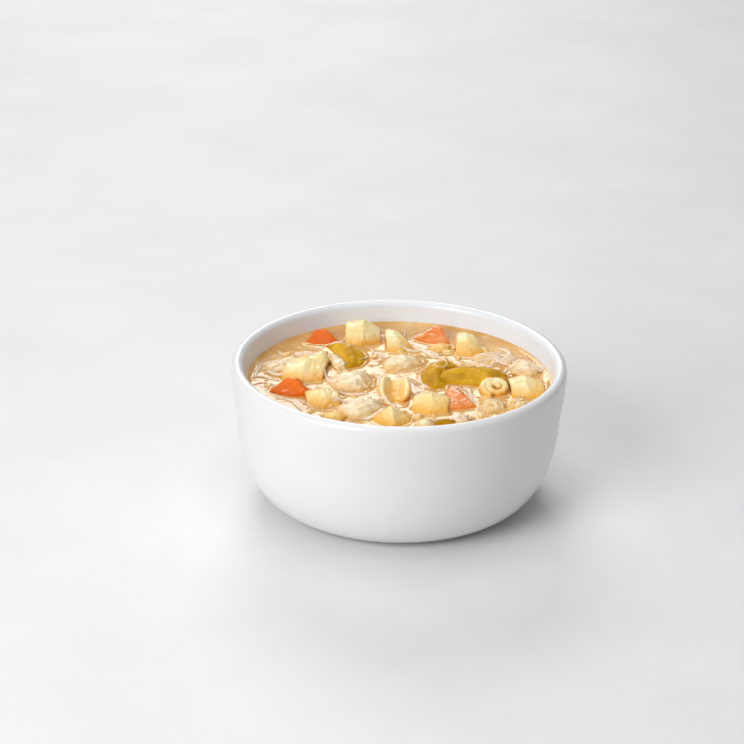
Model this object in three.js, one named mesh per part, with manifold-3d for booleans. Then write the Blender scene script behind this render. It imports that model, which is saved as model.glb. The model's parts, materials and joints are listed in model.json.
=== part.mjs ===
// A bowl of chicken noodle soup: a round white porcelain bowl filled to just under its rim with
// golden broth, in which lie wide egg noodles, carrot, celery, chunks of chicken and bundles of
// chicken shreds. Every piece shows above the broth and reaches some way down into it.
//
// Millimetres, +Z up. The origin is the middle of the circle that the bowl stands on, and -Y is
// the front. Nothing moves.
import * as THREE from "three";
import { mergeVertices } from "three/addons/utils/BufferGeometryUtils.js";
import Module from "manifold-3d";

// ---------------------------------------------------------------- driving dimensions

const BOWL = {
  radius: 65, // outside, at the lip
  height: 56.5,
  lip: 4.7, // thickness of the rounded lip
  lean: 1.9, // how much the upright wall draws in before it curves under
  turnHeight: 36.3, // where the wall starts to curve under
  turnReach: 18, // how far in the curve runs
  innerWall: 57, // inside radius at turnHeight
  innerReach: 21,
  floor: 7, // top of the bowl's inside floor
  footHeight: 1.3,
  footRadius: 40,
  footWidth: 4.5,
  recess: 0.9, // height of the unglazed base inside the foot ring
};
const BROTH_LEVEL = 47.6;
const GAP = 0.3; // between pieces that touch
const ROUND = 40; // steps round the bowl
const DEGREE = Math.PI / 180;

// ---------------------------------------------------------------- solids and cuts

const wasm = await Module();
wasm.setup();

// The solid that a closed geometry bounds, ready for a cut.
function solidOf(geometry) {
  const bare = geometry.clone();
  bare.deleteAttribute("normal");
  bare.deleteAttribute("uv");
  const merged = mergeVertices(bare, 1e-3);
  return new wasm.Manifold(
    new wasm.Mesh({
      numProp: 3,
      vertProperties: merged.attributes.position.array,
      triVerts: new Uint32Array(merged.index.array),
    }),
  );
}

function geometryOf(solid) {
  const { numVert, numProp, vertProperties, triVerts } = solid.getMesh();
  const points = new Float32Array(numVert * 3);
  for (let i = 0; i < numVert; i++) {
    points.set(vertProperties.subarray(i * numProp, i * numProp + 3), i * 3);
  }
  const geometry = new THREE.BufferGeometry();
  geometry.setAttribute("position", new THREE.BufferAttribute(points, 3));
  geometry.setIndex(new THREE.BufferAttribute(new Uint32Array(triVerts), 1));
  geometry.computeVertexNormals();
  return geometry;
}

// A cut can leave crumbs: the piece is the largest body that is left.
function largestBody(solid) {
  return solid.decompose().reduce((a, b) => (a.volume() > b.volume() ? a : b));
}

// Moves every vertex of a geometry by a function of its place.
function reshape(geometry, move) {
  const at = geometry.attributes.position;
  const point = new THREE.Vector3();
  for (let i = 0; i < at.count; i++) {
    point.fromBufferAttribute(at, i);
    move(point);
    at.setXYZ(i, point.x, point.y, point.z);
  }
  return geometry;
}

// ---------------------------------------------------------------- the bowl and the broth

// A profile of radius and height turned round Z. It runs so that the faces point out.
function turned(profile) {
  return new THREE.LatheGeometry(profile, ROUND).rotateX(Math.PI / 2);
}

// The inside of the bowl from its floor's middle up to the lip, drawn in by inset.
function insideCurve(inset) {
  const wall = BOWL.innerWall - inset;
  const drop = BOWL.turnHeight - BOWL.floor - inset;
  return new THREE.Path()
    .moveTo(0, BOWL.floor + inset)
    .lineTo(wall - BOWL.innerReach, BOWL.floor + inset)
    .absellipse(wall - BOWL.innerReach, BOWL.turnHeight, BOWL.innerReach, drop, -Math.PI / 2, 0);
}

// Inside radius of the leaning upright wall at a height above the turn.
function innerRadius(z) {
  const lipStart = BOWL.height - BOWL.lip / 2;
  const up = (z - BOWL.turnHeight) / (lipStart - BOWL.turnHeight);
  return THREE.MathUtils.lerp(BOWL.innerWall, BOWL.radius - BOWL.lip, up);
}

function bowl() {
  const outerTurn = BOWL.radius - BOWL.lean;
  const underside = outerTurn - BOWL.turnReach;
  const lipCentre = BOWL.radius - BOWL.lip / 2;
  const lipHeight = BOWL.height - BOWL.lip / 2;
  const footInside = BOWL.footRadius - BOWL.footWidth;
  const outside = new THREE.Path()
    .moveTo(0, BOWL.recess)
    .lineTo(footInside - BOWL.recess / 2, BOWL.recess)
    .lineTo(footInside, 0)
    .lineTo(BOWL.footRadius - 0.6, 0)
    .lineTo(BOWL.footRadius, BOWL.footHeight)
    .lineTo(underside, BOWL.footHeight)
    .absellipse(underside, BOWL.turnHeight, BOWL.turnReach, BOWL.turnHeight - BOWL.footHeight, -Math.PI / 2, 0)
    .lineTo(BOWL.radius - BOWL.lean * 0.25, (BOWL.turnHeight + lipHeight) / 2)
    .lineTo(BOWL.radius, lipHeight)
    .absarc(lipCentre, lipHeight, BOWL.lip / 2, 0, Math.PI);
  const inside = insideCurve(0).getPoints(3).reverse();
  return turned([...outside.getPoints(3), ...inside]);
}

// Broth fills the bowl up to its level. The pieces are cut out of it further down.
function broth() {
  const side = insideCurve(GAP).getPoints(3);
  const edge = new THREE.Vector2(innerRadius(BROTH_LEVEL) - GAP, BROTH_LEVEL);
  return turned([...side, edge, new THREE.Vector2(0, BROTH_LEVEL)]);
}

// ---------------------------------------------------------------- shapes of the pieces
// Each shape takes its sizes and how much to grow it on all sides, which the cuts use. Its
// origin is the middle of its top.

// A cooked noodle ribbon, bent round an axis along X through the angles from and to, which are
// measured from its top. It narrows towards its far end by taper and turns along its length by
// twist degrees. Its long edges droop by crown, and the one on its right by droop more. A ridge
// folds it along its middle.
function ribbon(sizes, grow = 0) {
  const { width, radius, from, to, taper = 0, twist = 0, crown = 0.8, ridge = 0, droop = 0 } = sizes;
  const { thickness = 1.9 } = sizes;
  const strip = new THREE.BoxGeometry(width + 2 * grow, 1, thickness + 2 * grow, 2, 8, 1);
  const start = from * DEGREE - grow / radius;
  const end = to * DEGREE + grow / radius;
  return reshape(strip, (p) => {
    const along = p.y + 0.5;
    const across = (2 * p.x) / (width + 2 * grow);
    const angle = THREE.MathUtils.lerp(start, end, along);
    const turn = twist * DEGREE * (along - 0.5);
    const slim = 1 - taper * along;
    const side = across * ((width / 2) * slim + grow);
    const fall = crown * across ** 2 + ridge * Math.abs(across) + droop * Math.max(0, across) ** 3;
    const out = p.z * (1 - 0.3 * across ** 4) - fall * slim;
    const x = side * Math.cos(turn) - out * Math.sin(turn);
    const reach = radius + side * Math.sin(turn) + out * Math.cos(turn);
    p.set(x, reach * Math.sin(angle), reach * Math.cos(angle) - radius - thickness / 2);
  });
}

// A noodle rolled up on itself round Z. It winds out from core by pitch a turn.
function roll({ width, core, turns, pitch, thickness = 1.5 }, grow = 0) {
  const steps = Math.ceil(turns * 11);
  const strip = new THREE.BoxGeometry(1, thickness + 2 * grow, width + 2 * grow, steps, 1, 1);
  const extra = grow / (core + pitch * turns);
  return reshape(strip, (p) => {
    const angle = (p.x + 0.5) * (turns * 2 * Math.PI + 2 * extra) - extra;
    const reach = core + (pitch * angle) / (2 * Math.PI) - p.y;
    p.set(reach * Math.cos(angle), reach * Math.sin(angle), p.z - width / 2);
  });
}

// A thick slice of carrot, a wedge of a round that spreads over sweep degrees, its edges
// softened by bevel and its top domed by dome. Its point, cut off at blunt, lies along +Y.
function wedge({ radius, thickness, sweep, blunt = 2.5, bevel = 1, dome = 0.6 }, grow = 0) {
  const half = (sweep / 2) * DEGREE;
  const tip = new THREE.Vector2(blunt * Math.sin(half), -blunt * Math.cos(half));
  const outline = new THREE.Shape()
    .absarc(0, 0, radius - bevel, -Math.PI / 2 - half, -Math.PI / 2 + half)
    .lineTo(tip.x, tip.y)
    .lineTo(-tip.x, tip.y)
    .closePath();
  const solid = new THREE.ExtrudeGeometry(outline, {
    depth: thickness - 2 * bevel,
    bevelThickness: bevel + grow,
    bevelSize: bevel + grow,
    bevelSegments: 1,
    curveSegments: 4,
  });
  solid.translate(0, 0.6 * radius, bevel - thickness);
  return reshape(solid, (p) => {
    const inward = 1 - Math.min(1, Math.hypot(p.x, p.y) / radius) ** 2;
    p.z += p.z > -thickness / 2 ? dome * (inward - 1) : 0;
  });
}

// A chunk of meat: a rounded lump, wavy by lumps.
function chunk({ length, width, height, lumps = 0.08, phase = 0 }, grow = 0) {
  return reshape(new THREE.SphereGeometry(1, 9, 6), (p) => {
    const swell = 1 + lumps * (Math.sin(4 * p.x + phase) + Math.cos(6 * p.y + 2 * phase));
    const x = p.x * swell * (length / 2 + grow);
    const y = p.y * swell * (width / 2 + grow);
    p.set(x, y, p.z * (1 + 0.5 * lumps * Math.sin(5 * p.x + phase)) * (height / 2 + grow) - height / 2);
  });
}

// A slice across a celery stalk: a crescent that bows by bow, arched over its width by crown
// and slimmer towards its ends by point.
function crescent({ length, width, thickness, bow, crown, point = 0.5 }, grow = 0) {
  const size = [length + 2 * grow, width + 2 * grow, thickness + 2 * grow];
  return reshape(new THREE.BoxGeometry(...size, 6, 2, 1), (p) => {
    const along = (2 * p.x) / size[0];
    const across = (2 * p.y) / size[1];
    const slim = 1 - point * along ** 2;
    const side = across * ((width / 2) * slim + grow);
    const edge = 1 - 0.3 * Math.max(along ** 4, across ** 4);
    const fall = crown * slim * across ** 2;
    p.set(p.x, side - bow * along ** 2, p.z * edge - fall - thickness / 2);
  });
}

// ---------------------------------------------------------------- what lies in the soup
// rise is how far a piece's top stands above the broth. heading turns the piece about Z, pitch
// tips it about its own X and lean about its own Y, in degrees. A piece is cut round the ones
// before it wherever they would meet.

const PIECES = [
  {
    name: "noodle_back_left",
    shape: [ribbon, { width: 13.5, radius: 10, from: -100, to: 95, droop: 2.5 }],
    place: { x: -14.8, y: 43, rise: 6.8 },
  },
  {
    name: "noodle_back_middle",
    shape: [ribbon, { width: 14, radius: 18, from: -58, to: 28, taper: 0.8, droop: 1 }],
    place: { x: -2.4, y: 38.5, rise: 4.2, heading: 17 },
  },
  {
    name: "noodle_back_right",
    shape: [ribbon, { width: 15, radius: 21, from: -54, to: 34, taper: 0.75, droop: 1.5 }],
    place: { x: 27, y: 36.5, rise: 4.2, heading: 7 },
  },
  {
    name: "noodle_small_back",
    shape: [ribbon, { width: 8, radius: 9, from: -60, to: 60 }],
    place: { x: 16.5, y: 32, rise: 1.8, heading: -20 },
  },
  {
    name: "noodle_left",
    shape: [ribbon, { width: 16, radius: 20, from: -52, to: 52, taper: 0.12, twist: 8, droop: 1 }],
    place: { x: -36.5, y: 7, rise: 4.5, heading: -8, lean: -3 },
  },
  {
    name: "noodle_middle",
    shape: [ribbon, { width: 17, radius: 7.4, from: -57, to: 57, crown: 2.2 }],
    place: { x: -1.5, y: -12.5, rise: -2.2, heading: 90, lean: 174 },
  },
  {
    name: "noodle_front_left",
    shape: [ribbon, { width: 12.5, radius: 9, from: -90, to: 85 }],
    place: { x: -29, y: -20, rise: 3.8, heading: 8 },
  },
  {
    name: "noodle_front_middle",
    shape: [ribbon, { width: 13.5, radius: 12, from: -75, to: 70, crown: 1.4 }],
    place: { x: 12.5, y: -23, rise: 4.4, heading: -4 },
  },
  {
    name: "noodle_front",
    shape: [ribbon, { width: 14, radius: 9.5, from: -90, to: 85, ridge: 2.4 }],
    place: { x: -2.5, y: -36.5, rise: 4.2, heading: 6 },
  },
  {
    name: "noodle_rolled",
    shape: [roll, { width: 10, core: 1.2, turns: 1.7, pitch: 2.6, thickness: 1.9 }],
    place: { x: 37.2, y: -10, rise: 3, pitch: 15, lean: 4 },
  },
  {
    name: "noodle_right",
    shape: [ribbon, { width: 12.5, radius: 13, from: -75, to: 70, droop: 1 }],
    place: { x: 49, y: -5.8, rise: 4.4, heading: 6 },
  },
  {
    name: "noodle_small_front",
    shape: [ribbon, { width: 7, radius: 6, from: -80, to: 70 }],
    place: { x: -24, y: -38, rise: 2.6, heading: -24 },
  },
  {
    name: "carrot_front_left",
    shape: [wedge, { radius: 12, thickness: 8, sweep: 76, bevel: 1.6, dome: 1 }],
    place: { x: -42, y: -14.5, rise: 2, heading: -10, pitch: 22, lean: -5 },
  },
  {
    name: "carrot_back_left",
    shape: [wedge, { radius: 10.5, thickness: 7, sweep: 70 }],
    place: { x: -31.2, y: 37.5, rise: 1.6, heading: 6, pitch: 25 },
  },
  {
    name: "carrot_back_right",
    shape: [wedge, { radius: 13, thickness: 7, sweep: 64 }],
    place: { x: 13.5, y: 41.5, rise: 1.8, heading: -16, pitch: 18 },
  },
  {
    name: "carrot_front_right",
    shape: [wedge, { radius: 17, thickness: 7, sweep: 40 }],
    place: { x: 22.3, y: -20.5, rise: 1.8, heading: 10, pitch: 9 },
  },
  {
    name: "celery_middle",
    shape: [crescent, { length: 25, width: 20, thickness: 6, bow: 3, crown: 2, point: 0.6 }],
    place: { x: 29, y: 5.5, rise: 2.9, heading: -2, pitch: -2 },
  },
  {
    name: "celery_middle_left",
    shape: [crescent, { length: 24, width: 12, thickness: 6, bow: 2, crown: 1.8, point: 0.3 }],
    place: { x: 14.2, y: 4, rise: 2.4, heading: 82, lean: -3 },
  },
  {
    name: "celery_back_left",
    shape: [crescent, { length: 23, width: 12, thickness: 6, bow: 3, crown: 1.6 }],
    place: { x: -19.5, y: 23, rise: 2.4, heading: -70 },
  },
  {
    name: "celery_front",
    shape: [crescent, { length: 7, width: 6, thickness: 5, bow: 0.8, crown: 1 }],
    place: { x: 17, y: -40, rise: 1.8, heading: 20 },
  },
  {
    name: "chicken_middle",
    shape: [chunk, { length: 24, width: 15, height: 11, lumps: 0.06, phase: 1 }],
    place: { x: 1, y: 15.5, rise: 3.2, heading: 45 },
  },
  {
    name: "chicken_middle_left",
    shape: [chunk, { length: 23, width: 17, height: 11, lumps: 0.08, phase: 2.4 }],
    place: { x: -18, y: -3.8, rise: 4.1, heading: 60 },
  },
  {
    name: "chicken_front_left",
    shape: [chunk, { length: 20, width: 16, height: 10, lumps: 0.07, phase: 4 }],
    place: { x: -13.8, y: -29.5, rise: 4, heading: 45 },
  },
  {
    name: "chicken_left",
    shape: [chunk, { length: 17, width: 12, height: 8, lumps: 0.08, phase: 3 }],
    place: { x: -46.5, y: 9, rise: 2.8, heading: 65 },
  },
  {
    name: "chicken_strip",
    shape: [ribbon, { width: 5, radius: 15, from: -50, to: 45, thickness: 2.6, crown: 0.5 }],
    place: { x: -25, y: 15, rise: 2.8, heading: 22 },
  },
  {
    name: "chicken_right",
    shape: [chunk, { length: 15, width: 14, height: 9, lumps: 0.08, phase: 0.6 }],
    place: { x: 49.5, y: 12, rise: 3, heading: 10 },
  },
  {
    name: "chicken_front_right",
    shape: [chunk, { length: 11, width: 11, height: 9, lumps: 0.1, phase: 5 }],
    place: { x: 35.5, y: -24, rise: 3 },
  },
  {
    name: "chicken_far_right",
    shape: [chunk, { length: 12, width: 9, height: 9, lumps: 0.1, phase: 2 }],
    place: { x: 45.5, y: -22, rise: 2.8, heading: 35 },
  },
  {
    name: "chicken_front",
    shape: [chunk, { length: 8.5, width: 9, height: 8, lumps: 0.06, phase: 1.5 }],
    place: { x: 10, y: -42.5, rise: 3 },
  },
  {
    name: "shreds_back_right",
    shape: [chunk, { length: 20, width: 12, height: 7, lumps: 0.1, phase: 3.5 }],
    place: { x: 37.5, y: 21.5, rise: 2.2, heading: 2 },
  },
  {
    name: "shreds_front_right",
    shape: [chunk, { length: 9, width: 7, height: 6, lumps: 0.1, phase: 0.2 }],
    place: { x: 23.5, y: -37.5, rise: 1.8, heading: 35 },
  },
];

const FINISH = {
  noodle: { color: 0xf0cf7a, roughness: 0.35, metalness: 0 },
  carrot: { color: 0xe8742a, roughness: 0.35, metalness: 0 },
  celery: { color: 0xc79a2e, roughness: 0.3, metalness: 0 },
  chicken: { color: 0xefd9b6, roughness: 0.5, metalness: 0 },
  shreds: { color: 0xf3e0c4, roughness: 0.5, metalness: 0 },
  broth: { color: 0xcf9f5c, roughness: 0.12, metalness: 0 },
  bowl: { color: 0xf4f4f5, roughness: 0.15, metalness: 0 },
};

// ---------------------------------------------------------------- the scene graph

const soup = new THREE.Group();
soup.name = "chicken_noodle_soup";

// A named mesh from a solid that is in the bowl's frame, set where its own frame is.
function addPart(name, solid, frame = new THREE.Object3D()) {
  frame.updateMatrix();
  const geometry = geometryOf(solid).applyMatrix4(frame.matrix.clone().invert());
  const kind = name.split("_")[0];
  const mesh = new THREE.Mesh(geometry, new THREE.MeshStandardMaterial(FINISH[kind]));
  mesh.name = name;
  mesh.position.copy(frame.position);
  mesh.quaternion.copy(frame.quaternion);
  soup.add(mesh);
}

function frameOf({ x, y, rise, heading = 0, pitch = 0, lean = 0 }) {
  const frame = new THREE.Object3D();
  frame.position.set(x, y, BROTH_LEVEL + rise);
  frame.rotation.set(pitch * DEGREE, lean * DEGREE, heading * DEGREE, "ZYX");
  frame.updateMatrix();
  return frame;
}

// The hollow of the bowl, just clear of its wall: no piece may reach out of it.
const lipRadius = BOWL.radius - BOWL.lip - GAP;
const hollow = solidOf(
  turned([
    ...insideCurve(GAP).getPoints(3),
    new THREE.Vector2(lipRadius, BOWL.height - BOWL.lip / 2),
    new THREE.Vector2(lipRadius, BOWL.height + 5),
    new THREE.Vector2(0, BOWL.height + 5),
  ]),
);

let liquid = solidOf(broth());
const before = [];
for (const { name, shape, place } of PIECES) {
  const [make, sizes] = shape;
  const frame = frameOf(place);
  let solid = solidOf(make(sizes).applyMatrix4(frame.matrix)).intersect(hollow);
  for (const other of before) {
    solid = solid.subtract(other);
  }
  addPart(name, largestBody(solid), frame);
  const grown = solidOf(make(sizes, GAP).applyMatrix4(frame.matrix));
  liquid = liquid.subtract(grown);
  before.push(grown);
}
addPart("broth", largestBody(liquid));
addPart("bowl", solidOf(bowl()));

export default soup;
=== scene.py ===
# %% [markdown]
# # A bowl of chicken noodle soup
# A small round porcelain bowl holds golden broth with wide egg noodles, carrot, celery,
# chunks of chicken and bundles of chicken shreds. Each of these is a piece of its own, because
# each has its own shape and its own wet finish. All sizes are in metres, and every place comes
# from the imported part, so the pieces need no fitting.

import json
import math
import random

import bpy
from mathutils import Matrix, Vector
from mathutils.bvhtree import BVHTree

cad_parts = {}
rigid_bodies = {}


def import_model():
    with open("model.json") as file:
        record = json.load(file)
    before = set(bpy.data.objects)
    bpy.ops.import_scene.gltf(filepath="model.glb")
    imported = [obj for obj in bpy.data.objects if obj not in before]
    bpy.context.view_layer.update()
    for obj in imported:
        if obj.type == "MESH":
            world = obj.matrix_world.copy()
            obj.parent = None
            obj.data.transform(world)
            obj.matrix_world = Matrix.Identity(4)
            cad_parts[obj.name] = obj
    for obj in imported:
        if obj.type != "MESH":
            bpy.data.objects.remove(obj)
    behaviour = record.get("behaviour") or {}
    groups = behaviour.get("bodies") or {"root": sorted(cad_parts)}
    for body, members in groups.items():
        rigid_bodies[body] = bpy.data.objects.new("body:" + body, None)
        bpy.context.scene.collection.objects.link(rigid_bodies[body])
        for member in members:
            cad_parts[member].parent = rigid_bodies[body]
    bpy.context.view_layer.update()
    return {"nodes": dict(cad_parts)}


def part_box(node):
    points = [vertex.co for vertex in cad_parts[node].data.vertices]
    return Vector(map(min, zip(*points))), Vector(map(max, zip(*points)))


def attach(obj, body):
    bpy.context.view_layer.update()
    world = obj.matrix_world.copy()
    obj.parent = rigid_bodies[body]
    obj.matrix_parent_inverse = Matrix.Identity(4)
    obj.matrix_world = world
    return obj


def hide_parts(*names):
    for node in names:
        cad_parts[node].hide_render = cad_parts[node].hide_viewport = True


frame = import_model()
MM = 0.001
BOWL_RADIUS, _, BOWL_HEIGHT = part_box("bowl")[1]
BROTH_RADIUS, _, BROTH_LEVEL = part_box("broth")[1]
random.seed(11)
print("bowl radius", BOWL_RADIUS, "height", BOWL_HEIGHT, "broth level", BROTH_LEVEL)

# %% [markdown]
# ## Working by hand
# Every piece is modelled with the same few moves: select one object, go into edit mode,
# shape it, and apply its modifiers and its place. An operator acts on all that is selected, and
# the loaded part is selected at first, so each move starts from an empty selection.


# %% Selecting, applying, finishing
def select_none():
    if bpy.context.object and bpy.context.object.mode != "OBJECT":
        bpy.ops.object.mode_set(mode="OBJECT")
    bpy.ops.object.select_all(action="DESELECT")


def select_only(piece):
    select_none()
    piece.select_set(True)
    bpy.context.view_layer.objects.active = piece


def apply_modifiers(piece):
    select_only(piece)
    for modifier in list(piece.modifiers):
        bpy.ops.object.modifier_apply(modifier=modifier.name)


def apply_place(piece):
    select_only(piece)
    bpy.ops.object.transform_apply(location=True, rotation=True, scale=True)


def finish_piece(piece, material, nodes=()):
    """Fix a piece's place, give it its finish and let it stand for its CAD nodes."""
    apply_place(piece)
    piece.data.materials.clear()
    piece.data.materials.append(material)
    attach(piece, "root")
    if nodes:
        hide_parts(*nodes)


# %% [markdown]
# ## Shared effects for the finishes
# Food is never one colour. Three effects come back in every finish, so each is a node group
# with named inputs: a mottle that drifts between two colours, a soaked foot that deepens the
# colour of a piece near the broth, partly for its soaking and partly as painted shade on its
# lower, shaded sides, and a fine relief for the surface. They read Object coordinates, so each
# pattern stays fixed to its piece.


# %% Building a node group
def new_group(name, inputs, outputs):
    """A shader node group with its input and output nodes, ready to be wired."""
    group = bpy.data.node_groups.new(name, "ShaderNodeTree")
    for label, kind, value in inputs:
        socket = group.interface.new_socket(label, in_out="INPUT", socket_type=kind)
        socket.default_value = value
    for label, kind in outputs:
        group.interface.new_socket(label, in_out="OUTPUT", socket_type=kind)
    enter = group.nodes.new("NodeGroupInput")
    leave = group.nodes.new("NodeGroupOutput")
    return group, enter.outputs, leave.inputs


def add_node(tree, kind, **settings):
    node = tree.nodes.new(kind)
    for key, value in settings.items():
        setattr(node, key, value)
    return node


FLOAT, COLOUR, VECTOR = "NodeSocketFloat", "NodeSocketColor", "NodeSocketVector"


# %% Mottle: two colours that drift into each other
def mottle_group():
    group, given, result = new_group(
        "Mottle",
        [
            ("Light", COLOUR, (1, 1, 1, 1)),
            ("Dark", COLOUR, (0, 0, 0, 1)),
            ("Patch Size mm", FLOAT, 6.0),
            ("Balance", FLOAT, 0.5),
            ("Softness", FLOAT, 0.2),
        ],
        [("Color", COLOUR), ("Mask", FLOAT)],
    )
    wire = group.links.new
    place = add_node(group, "ShaderNodeTexCoord")
    per_metre = add_node(group, "ShaderNodeMath", operation="DIVIDE")
    per_metre.inputs[0].default_value = 1 / MM
    wire(given["Patch Size mm"], per_metre.inputs[1])
    cloud = add_node(group, "ShaderNodeTexNoise")
    cloud.inputs["Detail"].default_value = 4.0
    cloud.inputs["Roughness"].default_value = 0.55
    wire(place.outputs["Object"], cloud.inputs["Vector"])
    wire(per_metre.outputs[0], cloud.inputs["Scale"])
    low = add_node(group, "ShaderNodeMath", operation="SUBTRACT")
    wire(given["Balance"], low.inputs[0])
    wire(given["Softness"], low.inputs[1])
    high = add_node(group, "ShaderNodeMath", operation="ADD")
    wire(given["Balance"], high.inputs[0])
    wire(given["Softness"], high.inputs[1])
    edge = add_node(group, "ShaderNodeMapRange", interpolation_type="SMOOTHSTEP")
    wire(cloud.outputs["Fac"], edge.inputs["Value"])
    wire(low.outputs[0], edge.inputs["From Min"])
    wire(high.outputs[0], edge.inputs["From Max"])
    blend = add_node(group, "ShaderNodeMix", data_type="RGBA")
    wire(edge.outputs["Result"], blend.inputs["Factor"])
    wire(given["Light"], blend.inputs["A"])
    wire(given["Dark"], blend.inputs["B"])
    wire(blend.outputs["Result"], result["Color"])
    wire(edge.outputs["Result"], result["Mask"])
    return group


MOTTLE = mottle_group()


# %% Soaked foot: how near a point is to the broth, for a deeper colour that is partly soaking and partly painted shade
def soak_and_shade_foot_group():
    # The mask deepens the colour low on each piece: partly real soaking, partly painted shade on its
    # lower, shaded sides.
    group, given, result = new_group(
        "Soak And Shade Foot",
        [("Level mm", FLOAT, 47.6), ("Reach mm", FLOAT, 3.0), ("Unevenness mm", FLOAT, 1.0)],
        [("Mask", FLOAT)],
    )
    wire = group.links.new
    place = add_node(group, "ShaderNodeTexCoord")
    height = add_node(group, "ShaderNodeSeparateXYZ")
    wire(place.outputs["Object"], height.inputs[0])
    in_mm = add_node(group, "ShaderNodeMath", operation="MULTIPLY")
    in_mm.inputs[1].default_value = 1 / MM
    wire(height.outputs["Z"], in_mm.inputs[0])
    cloud = add_node(group, "ShaderNodeTexNoise")
    cloud.inputs["Scale"].default_value = 260.0
    wire(place.outputs["Object"], cloud.inputs["Vector"])
    centred = add_node(group, "ShaderNodeMath", operation="SUBTRACT")
    centred.inputs[1].default_value = 0.5
    wire(cloud.outputs["Fac"], centred.inputs[0])
    wobble = add_node(group, "ShaderNodeMath", operation="MULTIPLY")
    wire(centred.outputs[0], wobble.inputs[0])
    wire(given["Unevenness mm"], wobble.inputs[1])
    uneven = add_node(group, "ShaderNodeMath", operation="ADD")
    wire(in_mm.outputs[0], uneven.inputs[0])
    wire(wobble.outputs[0], uneven.inputs[1])
    top = add_node(group, "ShaderNodeMath", operation="ADD")
    wire(given["Level mm"], top.inputs[0])
    wire(given["Reach mm"], top.inputs[1])
    fade = add_node(group, "ShaderNodeMapRange", interpolation_type="SMOOTHSTEP")
    fade.inputs["To Min"].default_value = 1.0
    fade.inputs["To Max"].default_value = 0.0
    wire(uneven.outputs[0], fade.inputs["Value"])
    wire(given["Level mm"], fade.inputs["From Min"])
    wire(top.outputs[0], fade.inputs["From Max"])
    wire(fade.outputs["Result"], result["Mask"])
    return group


SOAK_AND_SHADE_FOOT = soak_and_shade_foot_group()


# %% Fine relief: a height made of a coarse and a fine grain
def relief_group():
    group, given, result = new_group(
        "Fine Relief",
        [
            ("Coarse mm", FLOAT, 2.0),
            ("Fine mm", FLOAT, 0.5),
            ("Fine Share", FLOAT, 0.3),
            ("Stretch", VECTOR, (1, 1, 1)),
        ],
        [("Height", FLOAT)],
    )
    wire = group.links.new
    place = add_node(group, "ShaderNodeTexCoord")
    scaled = add_node(group, "ShaderNodeVectorMath", operation="MULTIPLY")
    wire(place.outputs["Object"], scaled.inputs[0])
    wire(given["Stretch"], scaled.inputs[1])
    grains = []
    for label in ("Coarse mm", "Fine mm"):
        per_metre = add_node(group, "ShaderNodeMath", operation="DIVIDE")
        per_metre.inputs[0].default_value = 1 / MM
        wire(given[label], per_metre.inputs[1])
        cloud = add_node(group, "ShaderNodeTexNoise")
        cloud.inputs["Detail"].default_value = 3.0
        wire(scaled.outputs[0], cloud.inputs["Vector"])
        wire(per_metre.outputs[0], cloud.inputs["Scale"])
        grains.append(cloud)
    blend = add_node(group, "ShaderNodeMix", data_type="FLOAT")
    wire(given["Fine Share"], blend.inputs["Factor"])
    wire(grains[0].outputs["Fac"], blend.inputs["A"])
    wire(grains[1].outputs["Fac"], blend.inputs["B"])
    wire(blend.outputs["Result"], result["Height"])
    return group


RELIEF = relief_group()
print("node groups:", [group.name for group in bpy.data.node_groups])

# %% [markdown]
# ## The finishes
# Each finish is a Principled material. Cooked noodle, celery and broth let some light in, which
# subsurface scattering gives, and all of them are wet, so they are glossy. The colour runs from
# a pale top to a deeper, soaked colour at the broth, which is partly real soaking and partly
# painted shade on the lower, shaded sides. The numbers that are the same all over are set on the
# shader's own sockets.


# %% Helpers for a finish
def rgb(red, green, blue):
    """A colour as the eye reads it, 0 to 1, turned into the linear one that shaders want."""
    linear = [c / 12.92 if c <= 0.04045 else ((c + 0.055) / 1.055) ** 2.4 for c in (red, green, blue)]
    return (*linear, 1.0)


def use_group(tree, group, **values):
    """A node that uses a shared group. The values are named as its inputs, with _ for a space."""
    node = add_node(tree, "ShaderNodeGroup", node_tree=group)
    for key, value in values.items():
        node.inputs[key.replace("_", " ")].default_value = value
    return node


def new_finish(name, roughness, **constants):
    """A material, its tree and its Principled shader with the constant numbers set."""
    material = bpy.data.materials.new(name)
    material.use_nodes = True
    tree = material.node_tree
    shader = tree.nodes["Principled BSDF"]
    shader.inputs["Roughness"].default_value = roughness
    for key, value in constants.items():
        shader.inputs[key.replace("_", " ")].default_value = value
    return material, tree, shader


def add_relief(tree, shader, distance_mm, strength, **values):
    """Bump from the shared relief."""
    relief = use_group(tree, RELIEF, **values)
    bump = add_node(tree, "ShaderNodeBump")
    bump.inputs["Distance"].default_value = distance_mm * MM
    bump.inputs["Strength"].default_value = strength
    tree.links.new(relief.outputs["Height"], bump.inputs["Height"])
    tree.links.new(bump.outputs["Normal"], shader.inputs["Normal"])


def add_roughness(tree, shader, mask, smooth, rough):
    """Roughness that runs from smooth to rough with a mask."""
    span = add_node(tree, "ShaderNodeMapRange")
    span.inputs["To Min"].default_value = smooth
    span.inputs["To Max"].default_value = rough
    tree.links.new(mask, span.inputs["Value"])
    tree.links.new(span.outputs["Result"], shader.inputs["Roughness"])


# %% Wet food: pale mottled top, deeper colour low down that is partly soaking and partly painted shade
SKIN_GRAIN = {"Coarse_mm": 2.5, "Fine_mm": 0.6, "Fine_Share": 0.3}
FIBRE_GRAIN = {"Coarse_mm": 1.6, "Fine_mm": 0.5, "Fine_Share": 0.4, "Stretch": (1, 2.5, 2)}


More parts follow.
